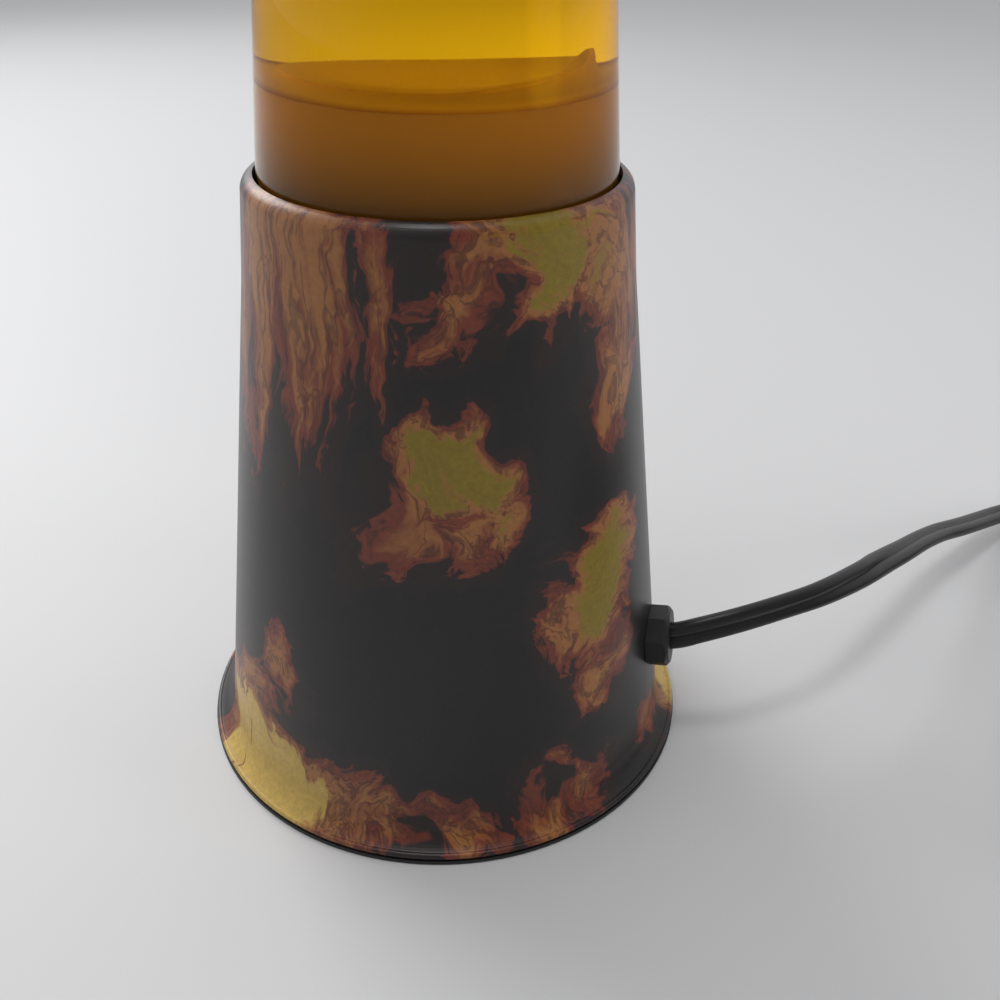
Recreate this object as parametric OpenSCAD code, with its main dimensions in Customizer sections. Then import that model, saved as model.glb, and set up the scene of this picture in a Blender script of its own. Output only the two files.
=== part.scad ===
// Liquid motion lamp: a printed cone base, a tapered globe of liquid and wax, a metal cap,
// a reflector bulb in a screw socket, and a flat twin cord with an in-line rocker switch and a plug.
// The lamp stands on the table at z = 0, its axis is Z, and the cord leaves the base along +X.

/* [Base] */
// Height of the base to the top of its rolled lip
base_h = 106.3; // [95:0.1:125]
// Outside diameter of the cone wall carried up to the top
wall_top_d = 60.1; // [58:0.1:66]
// Outside diameter of the cone wall carried down to the table
wall_foot_d = 87; // [82:0.5:100]
// Thickness of the sheet metal
sheet = 0.8; // [0.6:0.1:1.2]
// Radius of the edge that is rolled in at the top
lip_r = 2.5; // [2:0.1:3]
// How far that edge is rolled in
lip_turn = 80; // [70:1:85]
// How far the wall swells out under the rolled edge
lip_out = 0.45; // [0.2:0.05:0.8]
// Height over which the wall swells out
lip_blend = 14; // [8:0.5:20]
// Radius of the flare at the foot
flare_r = 5.2; // [4:0.1:8]
// How far the flare turns away from the wall
flare_turn = 63; // [45:1:70]
// Diameter of the rolled edge of the foot
foot_bead_d = 1.2; // [1:0.1:1.6]
// Height of the black rim that shows under the foot
rim_h = 0.8; // [0.6:0.1:1.5]
// How far the black rim stands out beyond the foot
rim_out = 0.15; // [0:0.05:0.8]

/* [Globe seat] */
// How far the globe's bottom lies below the top of the base
globe_sink = 7.9; // [7:0.1:9]
// Diameter of the opening under the globe, through which the bulb is changed
seat_hole_d = 41; // [40.5:0.5:42]
// Thickness of the seat's sheet metal
seat_sheet = 0.6; // [0.5:0.1:0.8]
// Width of the silicone ring under the globe
gasket_w = 4; // [3:0.25:4.5]

/* [Globe] */
// Outside diameter of the globe just above its heel
globe_d = 56.3; // [55:0.1:56.5]
// Radius of the globe's rounded heel
heel_r = 8.5; // [7:0.5:10]
// How much the radius shrinks for each millimetre of height
globe_taper = 0.083; // [0.08:0.0001:0.085]
// Thickness of the globe's wall
glass_t = 2.4; // [1.8:0.1:3]
// Thickness of the globe's floor
glass_floor_t = 3.6; // [3:0.1:5]
// Height of the cone from the heel to the shoulder
cone_h = 159.4; // [154:0.1:162]
// Diameter of the neck under the crown finish
neck_d = 24.6; // [24:0.1:25]
// Diameter of the crown finish
finish_d = 26.6; // [26:0.1:26.8]
// Bore of the neck
neck_bore_d = 16; // [14:0.5:18]
// Depth of the settled wax at the wall
wax_h = 17.3; // [12:0.1:24]
// Height of the raised plateau of the wax
plateau_h = 1.8; // [1:0.1:4]
// Distance from the glass to the edge of the plateau
plateau_gap = 7.5; // [4:0.5:10]
// Height of the air space under the neck
air_h = 3; // [1:0.5:8]

/* [Heating coil in the wax] */
// Diameter of the ring that the coil is laid in
heater_ring_d = 24; // [20:1:26]
// Outside diameter of the coil
heater_d = 6.1; // [5:0.1:6.5]
// Diameter of its wire
heater_wire_d = 0.9; // [0.7:0.1:1]
// Number of curls
heater_curls = 34; // [24:1:36]

/* [Top cap] */
// Height of the cap
cap_h = 68; // [60:1:80]
// Diameter of the cap's flat top
cap_top_d = 24.4; // [23:0.2:27]
// Radius of its top edge
cap_edge_r = 2.2; // [1.5:0.1:3]
// How far the cap reaches below the globe's shoulder
cap_overlap = 5; // [3:0.5:8]
// Diameter of the bead round the cap's foot
cap_bead_d = 1.7; // [1.4:0.1:2]
// How far the bead stands proud of the cap
cap_bead_out = 0.3; // [0.1:0.1:0.5]

/* [Crown closure] */
// Thickness of the crown's tin plate
crown_t = 0.45; // [0.4:0.05:0.5]
// Height of the crown
crown_h = 6.4; // [5.8:0.1:7]
// Thickness of the liner
liner_t = 0.75; // [0.6:0.05:1]
// Number of flutes
crown_flutes = 21; // [18:1:24]
// Diameter of a flute
flute_d = 1.1; // [0.8:0.1:1.2]

/* [Bulb] */
// Largest diameter of the reflector bulb
bulb_d = 39; // [36:0.5:39]
// Length of the bulb from its contact to its crown
bulb_l = 66.5; // [64:0.5:67]
// Diameter of the screw cap
screw_cap_d = 16.4; // [16.2:0.1:16.8]
// Length of the screw cap
screw_cap_l = 19; // [17:0.5:21]
// Thickness of the bulb's glass
bulb_glass_t = 0.7; // [0.5:0.1:1]

/* [Socket] */
// Outside diameter of the socket
socket_d = 23; // [22:0.5:26]
// Height of the socket
socket_h = 29; // [27:0.5:31]
// Thickness of the socket's floor
socket_floor = 6; // [5.5:0.5:7]
// Thickness of the screw shell
shell_t = 0.6; // [0.5:0.1:0.7]
// Running gap between the bulb's cap and the screw shell
thread_gap = 0.3; // [0.25:0.05:0.4]
// Height of the sprung contact over the floor
contact_h = 1.4; // [1.2:0.1:1.8]

/* [Bracket and bottom cover] */
// Thickness of the bottom cover
cover_t = 1.6; // [1.4:0.1:2.2]
// Width of the ring that the cover stands on
rim_w = 3.6; // [3:0.2:4.5]
// Height of the cover's locating wall
spigot_h = 2.6; // [1.5:0.1:3]
// Thickness of the locating wall
spigot_t = 1.6; // [1.2:0.1:2]
// Diameter of the bosses round the cover's screws
boss_d = 9.4; // [8:0.2:10]
// Diameter of the posts under the bracket
post_d = 9; // [8:0.2:10]
// Height of the posts under the bracket
post_h = 2.2; // [1.6:0.2:3]
// Height of the bracket's bridge over its feet
bridge_h = 7.6; // [6:0.2:8]
// Thickness of the bracket's steel
bracket_t = 1.2; // [1:0.1:1.4]
// Width of the bracket
bracket_w = 14; // [12:0.5:16]
// Distance between the bracket's two screws
bracket_pitch = 37; // [35:0.5:39]
// Radius of the circle of cover screws
lug_screw_r = 33.5; // [32:0.5:34.5]
// Width of the three welded lugs
lug_w = 10; // [9:0.5:12]
// Radius where the cover's vents begin
vent_r = 13; // [12:0.5:15]
// Length of the vents
vent_l = 12; // [9:0.5:13]
// Width of the vents
vent_w = 2.6; // [2:0.1:3.2]
// Diameter of the screws in the base
screw_d = 3; // [2.6:0.1:3.2]
// Length of the cover screws' tips beyond the lugs
screw_tip = 2; // [1:0.5:4]

/* [Cord] */
// Width of the flat twin cord
cord_w = 5.6; // [5.2:0.1:5.6]
// Thickness of the flat twin cord
cord_t = 2.8; // [2.4:0.1:2.8]
// Height of the strain relief on the wall
bushing_z = 21.6; // [20.5:0.1:24]
// Size of the strain relief's head across its flats
bushing_af = 10.9; // [10:0.1:12]
// Thickness of the strain relief's head
bushing_head = 3.9; // [3.5:0.1:5]
// Diameter of the hole in the wall
bushing_hole_d = 9.4; // [9:0.1:9.8]

/* [Cord coil] */
// Outer radius of the coil at the middle of the cord
coil_r = 38.5; // [37:0.5:40]
// Step from turn to turn
coil_step = 4.2; // [4:0.1:4.4]
// Gap between the two layers
layer_gap = 0.45; // [0.42:0.01:0.6]

/* [Switch] */
// Length of the switch
switch_l = 58; // [56:1:62]
// Width of the switch
switch_w = 26; // [24:0.5:28]
// Width of its ends
switch_end_w = 15; // [13:0.5:17]
// Height of the housing
switch_h = 16.5; // [16:0.5:18]
// Height of the seam between its two halves
switch_seam = 7.5; // [7:0.1:7.6]
// Length of the rocker
rocker_l = 19.6; // [18:0.2:20]
// Width of the rocker
rocker_w = 11; // [9:0.5:12]
// Swing of the rocker from off to on
rocker_swing = 18; // [14:1:20]

/* [Plug] */
// Length of the plug's body
plug_l = 30; // [28:1:34]
// Width of the plug's body
plug_w = 25; // [24:0.5:27]
// Height of the plug's body
plug_h = 17; // [16:0.5:18]
// Distance between the blades
blade_pitch = 12.7; // [12.5:0.1:12.9]
// Length of the blades
blade_l = 17.5; // [16:0.5:18]
// Thickness of the blades
blade_t = 1.5; // [1.4:0.05:1.6]
// Width of the blades
blade_w = 6.4; // [6.2:0.1:6.6]
// Diameter of the hole in a blade
blade_hole_d = 3.2; // [3:0.1:3.4]

/* [Hidden] */
$fn = 96;
// Clearances: parts that only seat, parts that lift apart, and a pin in its bearing
seat_gap = 0.05;
lift_gap = 0.35;
pin_gap = 0.05;
slip_gap = 0.15;

// Cone of the base
lip_z = base_h - lip_r*sin(lip_turn);
wall_slope = (wall_foot_d - wall_top_d)/2/base_h;
wall_tilt = atan(wall_slope);
function wall_r(z) = wall_foot_d/2 - wall_slope*z;
function inner_r(z) = wall_r(z) - sheet/cos(wall_tilt);
lip_c = [wall_r(lip_z) + lip_out - lip_r, lip_z];
lip_in_r = lip_r - sheet;
flare_end = wall_tilt + flare_turn;
foot_z = rim_h + foot_bead_d/2;
flare_mid_r = flare_r + sheet/2;
flare_z = foot_z + flare_mid_r*sin(flare_end) - flare_r*sin(wall_tilt);
flare_c = [wall_r(flare_z) + flare_r*cos(wall_tilt), flare_z + flare_r*sin(wall_tilt)];
foot_x = flare_c[0] - flare_mid_r*cos(flare_end);
cover_r = foot_x + foot_bead_d/2 + rim_out;

// Globe
globe_z = base_h - globe_sink;
globe_tilt = atan(globe_taper);
heel_z = globe_z + heel_r;
heel_x = globe_d/2 - heel_r*cos(globe_tilt);
cone_z = heel_z + heel_r*sin(globe_tilt);
shoulder_z = cone_z + cone_h;
function globe_r(z) = globe_d/2 - globe_taper*(z - cone_z);
function bore_r(z) = globe_r(z) - glass_t/cos(globe_tilt);
glass_floor_z = globe_z + glass_floor_t;
heel_in_r = heel_r - glass_t;
floor_angle = -asin((heel_z - glass_floor_z)/heel_in_r);
neck_z = shoulder_z + 5.5;
finish_z = neck_z + 2.5;
finish_h = 8;
mouth_z = finish_z + finish_h;
fill_z = shoulder_z - air_h;
wax_z = glass_floor_z + wax_h;
heater_r = (heater_d - heater_wire_d)/2;
heater_z = glass_floor_z + heater_d/2 + 2*seat_gap;

// Seat ring and gasket under the globe
seat_r = lip_c[0] + lip_in_r - seat_gap - seat_sheet;
seat_z = globe_z - 0.9;
gasket_x = seat_hole_d/2 + 0.6;
gasket_arc_r = heel_r + lift_gap;

// Crown and cap
crown_z = mouth_z + liner_t + 2*seat_gap;
crown_in_r = finish_d/2 + crown_t;
cap_z = shoulder_z - cap_overlap;
cap_top_z = cap_z + cap_h;
cap_lip_z = cap_z + cap_bead_d/2;
cap_shoulder_z = cap_top_z - cap_edge_r;
crown_out_r = crown_in_r + crown_t/2 + flute_d/2;
flute_top = crown_z + crown_t - 0.4*crown_h;
flute_share = (flute_top - cap_lip_z)/(cap_shoulder_z - cap_lip_z);
over_crown_r = crown_out_r + lift_gap + 1.1*sheet;
cap_foot_r = max(globe_r(cap_z) + lift_gap + cap_bead_d - cap_bead_out,
    (over_crown_r - flute_share*cap_top_d/2)/(1 - flute_share));
cap_lip_x = cap_foot_r + cap_bead_out - cap_bead_d/2;

// Bottom cover, bracket, socket and bulb, stacked from the table up
cover_z = rim_h;
cover_top = cover_z + cover_t;
spigot_r = inner_r(flare_z) - 2*slip_gap;
spigot_top = cover_top + spigot_h;
rim_x = foot_x - foot_bead_d;
post_top = cover_top + post_h;
bridge_z = post_top + bridge_h;
socket_z = bridge_z + bracket_t;
socket_floor_z = socket_z + socket_floor;
socket_top = socket_z + socket_h;
bulb_z = socket_floor_z + contact_h + lift_gap;
tip_h = 1.2;
insulator_h = 2.4;
screw_cap_z = bulb_z + tip_h + insulator_h;
bulb_neck_z = screw_cap_z + screw_cap_l;
bulb_top = bulb_z + bulb_l;
thread_r = screw_cap_d/2 + thread_gap;
terminal_angle = 40;
terminal_z = socket_z + socket_floor/2;
terminal_out = socket_d/2 + seat_gap + 1.5;
lug_t = 1.2;
lug_z = cover_top + 3.4;
lug_top = lug_z + 2*lug_w;
lug_angles = [60, 180, 300];
head_r = 0.95*screw_d;
head_h = 0.62*screw_d;

// Strain relief: its axis is square to the wall
function on_bushing(s) = [wall_r(bushing_z) + s*cos(wall_tilt), 0, bushing_z + s*sin(wall_tilt)];
bushing_in = 9;
cord_in = bushing_in + 3;

// The cord from the base to the switch, as points on its centre line
switch_at = [212, 46];
lead_route = concat(
    [for (s = [-cord_in, -4, bushing_head]) on_bushing(s)],
    [[49.8, 0.9, 23.9], [57, 4, 25.6], [64, 9.2, 26], [71.5, 16.2, 25.7], [79.5, 27.5, 23.8],
     [84, 35.7, 22], [89.5, 45.5, 19.6], [95, 56, 16.8], [100.5, 65.7, 13.8], [107, 75, 10.8], [113, 84, 8],
     [119, 92.5, 5.6], [126, 100.5, 3.6], [134.5, 107.5, 2.2], [144.5, 112.5, 1.6],
     [156, 115, 1.5], [168, 114.5, 1.5], [179.5, 111, 1.8], [190, 105, 2.6], [199.5, 97, 4.2],
     [207.5, 89, 6.2], [212, 81, 7.4]],
    [[switch_at[0], switch_at[1] + switch_l/2 + seat_gap, switch_seam]]);
lead_upright = 5;
lead_flat = 10;

// The cord from the switch to the coil
coil_at = [154, 10];
coil_start = -60;
coil_turns = 3 + 17/24;
coil_rings = 24;
coil_low = cord_w/2 + 0.8;
coil_high = coil_low + cord_w + layer_gap;
climb_turns = 0.24;
coil_run = 34;
coil_entry = 6;
start_dir = [sin(coil_start), -cos(coil_start)];
coil_entry_at = coil_at + coil_r*[cos(coil_start), sin(coil_start)] - coil_entry*start_dir;
tail_route = concat(
    [[switch_at[0], switch_at[1] - switch_l/2 - seat_gap, switch_seam]],
    [[212, 12, 7.3], [210.8, 5, 6.8], [207.8, -1, 5.9], [202.5, -6.3, 4.9], [195.5, -10.6, 4],
     [187, -15.4, 3.6]],
    [[coil_entry_at[0], coil_entry_at[1], coil_low]]);

// Switch: the rocker's pivot lies over the seam
rocker_z = 12;
rocker_pin_r = 1.5;
rocker_pin_l = 1.8;
window_l = rocker_l + 2.2;
window_w = rocker_w + 0.7;
switch_end_arc = (pow(switch_l/2, 2) + pow((switch_w - switch_end_w)/2, 2))/(switch_w - switch_end_w);

// Plug: it lies on the table at the end of the coil's straight run
plug_turn = coil_start - 360*2*coil_turns - 90;
plug_dir = [cos(plug_turn), sin(plug_turn)];
coil_end_at = coil_at + coil_r*[cos(plug_turn + 90), sin(plug_turn + 90)];
plug_at = coil_end_at + (coil_run + seat_gap)*plug_dir;
plug_neck_w = 11;
plug_neck_h = 8.4;
blade_root = 5;

// Points on an arc about a centre
function arc(c, r, a0, a1, n = 10) =
    [for (i = [0:n]) let (a = a0 + (a1 - a0)*i/n) c + r*[cos(a), sin(a)]];

function unit(v) = v/norm(v);
function ease(t) = let (k = min(max(t, 0), 1)) k*k*(3 - 2*k);

// A flat cord's section with n sides, as [thickness, width] points
function cord_section(n) =
    [for (i = [0:n - 1]) let (a = 360*(i + 0.5)/n)
        [cord_t/2*cos(a), sign(sin(a))*(cord_w - cord_t)/2 + cord_t/2*sin(a)]];
function round_section(r, n) = [for (i = [0:n - 1]) r*[cos(360*i/n), sin(360*i/n)]];

function heading(p, i) = unit(p[min(i + 1, len(p) - 1)] - p[max(i - 1, 0)]);

// One ring of a tube: at roll 0 the section's width stands upright, at 90 it lies flat
function ring(at, t, roll, section) =
    let (s = unit(cross([0, 0, 1], t)), u = cross(t, s))
    [for (q = section)
        at + (q[0]*cos(roll) + q[1]*sin(roll))*s + (q[1]*cos(roll) - q[0]*sin(roll))*u];

function rings(p, roll, section) = [for (i = [0:len(p) - 1]) ring(p[i], heading(p, i), roll[i], section)];

// A closed tube over a list of rings
module tube(all) {
    n = len(all[0]);
    last = n*(len(all) - 1);
    sides = [for (i = [0:len(all) - 2], j = [0:n - 1], half = [0, 1])
        let (a = i*n + j, b = i*n + (j + 1) % n)
        half == 0 ? [a, b + n, b] : [a, a + n, b + n]];
    ends = [for (j = [1:n - 2], end = [0, 1]) end == 0 ? [0, j, j + 1] : [last, last + j + 1, last + j]];
    polyhedron([for (r = all) each r], concat(sides, ends));
}

// A rectangle with round corners, centred
module rounded(w, h, r) {
    square([w - 2*r, h], center = true);
    square([w, h - 2*r], center = true);
    for (x = [-1, 1], y = [-1, 1]) translate([x*(w/2 - r), y*(h/2 - r)]) circle(r);
}

// The same with each corner cut in three short flats
module softened(w, h, r) {
    x = w/2 - r;
    y = h/2 - r;
    polygon(concat(arc([x, y], r, 0, 90, 3), arc([-x, y], r, 90, 180, 3), arc([-x, -y], r, 180, 270, 3),
        arc([x, -y], r, 270, 360, 3)));
}

// A pan-head screw pointing up, with its head's seat at z = 0
module screw(d, l) {
    cylinder(d = d, h = l);
    translate([0, 0, -0.62*d]) cylinder(r = 0.95*d, h = 0.62*d);
}

module at_bushing() { translate(on_bushing(0)) rotate([0, -wall_tilt, 0]) children(); }
module at_lugs() { for (a = lug_angles) rotate(a) translate([lug_screw_r, 0]) children(); }
module at_posts() { for (y = [-1, 1]) translate([0, y*bracket_pitch/2]) children(); }
module at_terminals() {
    for (side = [-1, 1]) rotate(side*terminal_angle)
        translate([0, 0, terminal_z]) rotate([0, 90, 0]) children();
}

// The solid cone inside the wall, or outside it where grow is positive
module wall_cone(grow, top) {
    rotate_extrude() polygon([[0, 0], [wall_r(0) + grow, 0], [wall_r(top) + grow, top], [0, top]]);
}

// Spun base: rolled foot, flare, cone wall and rolled-in edge in one sheet
module base_shell() color("#3a2416") difference() {
    rotate_extrude() {
        polygon(concat(
            arc(flare_c, flare_r, 180 + flare_end, 180 + wall_tilt),
            [[wall_r(lip_z - lip_blend), lip_z - lip_blend]],
            arc(lip_c, lip_r, 0, lip_turn), arc(lip_c, lip_in_r, lip_turn, 0),
            [[inner_r(lip_z - lip_blend), lip_z - lip_blend]],
            arc(flare_c, flare_r + sheet, 180 + wall_tilt, 180 + flare_end)));
        translate([foot_x, foot_z]) circle(d = foot_bead_d);
    }
    at_bushing() rotate([0, 90, 0]) cylinder(d = bushing_hole_d, h = 12, center = true);
}

// Drawn ring pressed in under the lip: a short wall, a rounded corner and a ledge
module globe_seat() color("#55585c") rotate_extrude() {
    corner = 3;
    c = [seat_r - corner, seat_z + corner];
    top = lip_z - seat_gap;
    polygon(concat(
        [[seat_hole_d/2, seat_z - seat_sheet], [seat_hole_d/2, seat_z]],
        arc(c, corner, -90, 0),
        [[seat_r, top], [seat_r + seat_sheet, top]],
        arc(c, corner + seat_sheet, 0, -90)));
}

// Silicone ring whose top follows the globe's heel
module seat_gasket() color("#d8d4cc") rotate_extrude() {
    c = [heel_x, heel_z];
    a0 = -acos((gasket_x - heel_x)/gasket_arc_r);
    a1 = -acos((gasket_x + gasket_w - heel_x)/gasket_arc_r);
    bottom = seat_z + seat_gap;
    polygon(concat([[gasket_x + gasket_w, bottom], [gasket_x, bottom]], arc(c, gasket_arc_r, a0, a1, 6)));
}

// Three steel lugs welded inside the wall, which take the cover's screws
module shell_lugs() color("#8a8d90") difference() {
    for (a = lug_angles) rotate(a) {
        intersection() {
            difference() {
                wall_cone(-sheet/cos(wall_tilt) - seat_gap, lug_top);
                wall_cone(-sheet/cos(wall_tilt) - lug_t, lug_top + 1);
            }
            translate([0, -lug_w/2, lug_z]) cube([wall_foot_d, lug_w, lug_w]);
        }
        intersection() {
            wall_cone(-sheet/cos(wall_tilt) - lug_t/2, lug_top);
            translate([lug_screw_r - lug_w/2, -lug_w/2, lug_z]) cube([2*lug_w, lug_w, lug_t]);
        }
    }
    at_lugs() cylinder(d = screw_d + 2*pin_gap, h = base_h, center = true);
}

// Black moulded cover: standing rim, floor with vents, posts for the bracket and bosses for the screws
module base_cover() color("#141414") difference() {
    union() {
        rotate_extrude() polygon([[0, cover_z], [cover_r - rim_w, cover_z], [cover_r - rim_w + 0.6, 0],
            [cover_r - 0.15, 0], [cover_r, 0.15], [cover_r, rim_h - seat_gap],
            [rim_x, rim_h - seat_gap], [rim_x - cover_t, cover_top], [spigot_r, cover_top],
            [spigot_r, spigot_top], [spigot_r - spigot_t, spigot_top], [spigot_r - spigot_t, cover_top],
            [0, cover_top]]);
        at_posts() translate([0, 0, cover_z]) cylinder(d = post_d, h = post_top - cover_z);
        at_lugs() translate([0, 0, cover_z]) cylinder(d = boss_d, h = lug_z - seat_gap - cover_z);
    }
    at_lugs() translate([0, 0, -1]) {
        cylinder(d = screw_d + 2*pin_gap, h = base_h);
        cylinder(r = head_r + slip_gap, h = 1 + cover_z + head_h + 0.2);
    }
    at_posts() translate([0, 0, cover_z + 0.6]) cylinder(d = screw_d + 2*pin_gap, h = base_h);
    for (a = [15:30:345]) if (abs(sin(a)) < 0.9) rotate(a)
        translate([vent_r, -vent_w/2, -1]) cube([vent_l, vent_w, base_h]);
}

module cover_screws() color("#9a9da0") at_lugs()
    translate([0, 0, cover_z + head_h + 0.2 - seat_gap])
        screw(screw_d, lug_z + lug_t + screw_tip - cover_z - head_h);

// Moulded strain relief: nut-shaped head outside, snap collar inside, a slot that grips the cord
module strain_relief() color("#101010") difference() {
    union() {
        difference() {
            at_bushing() intersection() {
                rotate([0, 90, 0]) rotate(22.5)
                    translate([0, 0, -3]) cylinder(d = bushing_af/cos(22.5), h = bushing_head + 3, $fn = 8);
                rotate([0, 90, 0]) rotate_extrude() polygon([[0, -3], [bushing_af, -3],
                    [bushing_af/2 + 1.2, bushing_head - 1.4], [bushing_af/2 - 0.5, bushing_head],
                    [0, bushing_head]]);
            }
            wall_cone(seat_gap, lip_z);
        }
        at_bushing() rotate([0, -90, 0]) translate([0, 0, -0.6])
            cylinder(d = bushing_hole_d - 2*pin_gap, h = bushing_in + 0.6);
        intersection() {
            at_bushing() rotate([0, -90, 0])
                cylinder(d1 = bushing_hole_d + 2.4, d2 = bushing_hole_d - 0.6, h = 6);
            wall_cone(-sheet/cos(wall_tilt) - slip_gap, lip_z);
        }
    }
    at_bushing() rotate([90, 0, 90]) translate([0, 0, -bushing_in - 2])
        linear_extrude(bushing_in + bushing_head + 4) {
            square([cord_t + 2*slip_gap, cord_w - cord_t], center = true);
            for (y = [-1, 1]) translate([0, y*(cord_w - cord_t)/2]) circle(d = cord_t + 2*slip_gap);
        }
}

// Pressed steel bridge that carries the socket
module socket_bracket() color("#b9bcc0") difference() {
    leg_y = bracket_pitch/2 - 5.5;
    rotate([90, 0, 90]) linear_extrude(bracket_w, center = true) {
        translate([-leg_y, bridge_z]) square([2*leg_y, bracket_t]);
        for (s = [0, 1]) mirror([s, 0]) {
            translate([leg_y - bracket_t, post_top]) square([bracket_t, bridge_h + bracket_t]);
            translate([leg_y - bracket_t, post_top + seat_gap]) square([5.5 + bracket_t + 4.5, bracket_t]);
        }
    }
    at_posts() cylinder(d = screw_d + 2*slip_gap, h = 60, center = true);
    cylinder(d = screw_d + 2*slip_gap, h = 60, center = true);
}

module bracket_screws() color("#9a9da0") at_posts()
    translate([0, 0, post_top + bracket_t + 2*seat_gap]) mirror([0, 0, 1])
        screw(screw_d, bracket_t + post_h + 0.6);

module socket_screw() color("#9a9da0")
    translate([0, 0, bridge_z - seat_gap]) screw(screw_d, bracket_t + socket_floor - 1.2);

// Phenolic socket with a stepped top
module socket_body() color("#2b211c") difference() {
    rotate_extrude() polygon([[0, socket_z + seat_gap], [socket_d/2 - 0.8, socket_z + seat_gap],
        [socket_d/2, socket_z + 0.8], [socket_d/2, socket_top - 4], [socket_d/2 - 1, socket_top - 3.4],
        [socket_d/2 - 1, socket_top], [thread_r + shell_t + seat_gap, socket_top],
        [thread_r + shell_t + seat_gap, socket_floor_z], [0, socket_floor_z]]);
    translate([0, 0, socket_z - 1]) cylinder(d = screw_d + 2*pin_gap, h = socket_floor);
    at_terminals() translate([0, 0, socket_d/2 - 5]) cylinder(d = screw_d + 2*pin_gap, h = 9);
}

// Brass screw shell with a turned-in foot
module socket_shell() color("#c8a04a") rotate_extrude() {
    foot = socket_floor_z + seat_gap;
    top = socket_top - 1.5;
    polygon([[thread_r - 2.6, foot], [thread_r + shell_t, foot], [thread_r + shell_t, top],
        [thread_r, top], [thread_r, foot + shell_t], [thread_r - 2.6, foot + shell_t]]);
}

// Sprung centre contact: a leaf and its raised button
module socket_contact() color("#d0aa58") translate([0, 0, socket_floor_z + seat_gap]) {
    translate([-1.6, -4.5, 0]) cube([3.2, 9, 0.5]);
    cylinder(r = 2.2, h = contact_h - 2*seat_gap);
}

module terminal_screws() color("#c8a04a") at_terminals() {
    translate([0, 0, socket_d/2 - 4.6]) cylinder(d = screw_d, h = 4.8);
    translate([0, 0, socket_d/2 + seat_gap]) cylinder(r = head_r - 0.4, h = 1.5);
}

// The cord's two conductors, from the end of its jacket to the terminals
module lead_wires() color("#202020") for (side = [-1, 1]) {
    across = [-sin(wall_tilt), 0, cos(wall_tilt)];
    jacket = on_bushing(-cord_in - seat_gap) + side*(cord_w - cord_t)/2*across;
    out = [cos(terminal_angle), side*sin(terminal_angle), 0];
    screw_end = (terminal_out + seat_gap)*out + [0, 0, terminal_z];
    route = [jacket, jacket + [-2.5, 0, 0], [23.5, side*2.6, 20.5], [20.8, side*7, 19],
        screw_end + 4.5*out, screw_end];
    tube(rings(route, [for (q = route) 0], round_section(0.9, 8)));
}

module bulb_tip() color("#b8b8b8") translate([0, 0, bulb_z]) rotate_extrude()
    polygon([[0, 0], [1.6, 0], [2.5, 0.7], [2.5, tip_h - seat_gap], [0, tip_h - seat_gap]]);

module bulb_insulator() color("#151515") translate([0, 0, bulb_z + tip_h]) rotate_extrude()
    polygon([[0, 0], [3.2, 0], [screw_cap_d/2 - 2, insulator_h - seat_gap], [0, insulator_h - seat_gap]]);

module bulb_cap() color("#c9a95c") rotate_extrude() {
    r = screw_cap_d/2;
    polygon([[0, screw_cap_z], [r - 1.6, screw_cap_z], [r, screw_cap_z + 1.6], [r, bulb_neck_z],
        [r - 0.6, bulb_neck_z], [r - 0.6, screw_cap_z + 2], [0, screw_cap_z + 2]]);
}

// Reflector bulb: neck, flared bowl and shallow crown
bulb_bowl_z = bulb_top - 11;
bulb_neck_r = screw_cap_d/2 - 0.6 - seat_gap;
function bulb_profile(t) = concat(
    [[bulb_neck_r - t, bulb_neck_z - 8], [bulb_neck_r - t, bulb_neck_z + 3]],
    [for (i = [1:8]) let (k = i/8) [
        bulb_neck_r - t + (bulb_d/2 - bulb_neck_r)*pow(k, 0.8)*(1.35 - 0.35*k),
        bulb_neck_z + 3 + (bulb_bowl_z - bulb_neck_z - 3)*k]],
    [for (i = [1:8]) let (a = 90*i/8)
        [(bulb_d/2 - t)*cos(a), bulb_bowl_z + (bulb_top - t - bulb_bowl_z)*sin(a)]]);

module bulb_glass() color([0.95, 0.95, 0.92, 0.5]) rotate_extrude() {
    inner = bulb_profile(bulb_glass_t);
    polygon(concat(bulb_profile(0), [for (i = [len(inner) - 1:-1:0]) inner[i]]));
}

stem_z = bulb_neck_z - 8;
stem_h = 20;
module bulb_stem() color([0.9, 0.95, 0.95, 0.6]) rotate_extrude()
    polygon([[0, stem_z], [bulb_neck_r - bulb_glass_t - seat_gap, stem_z],
        [bulb_neck_r - bulb_glass_t - seat_gap, stem_z + 1.2], [2.4, stem_z + 5], [2.4, stem_z + stem_h],
        [0, stem_z + stem_h]]);

// Two support wires and the filament strung between them
module bulb_filament() color("#9c9c96") {
    foot = stem_z + stem_h + seat_gap;
    rise = 9;
    spread = 5;
    for (s = [-1, 1]) {
        translate([s*1.2, 0, foot]) rotate([0, s*atan((spread - 1.2)/rise), 0]) cylinder(r = 0.3, h = rise);
    }
    translate([0, 0, foot + rise - 0.5]) rotate([0, 90, 0])
        cylinder(r = 0.45, h = 2*spread - 0.8, center = true);
}

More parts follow.
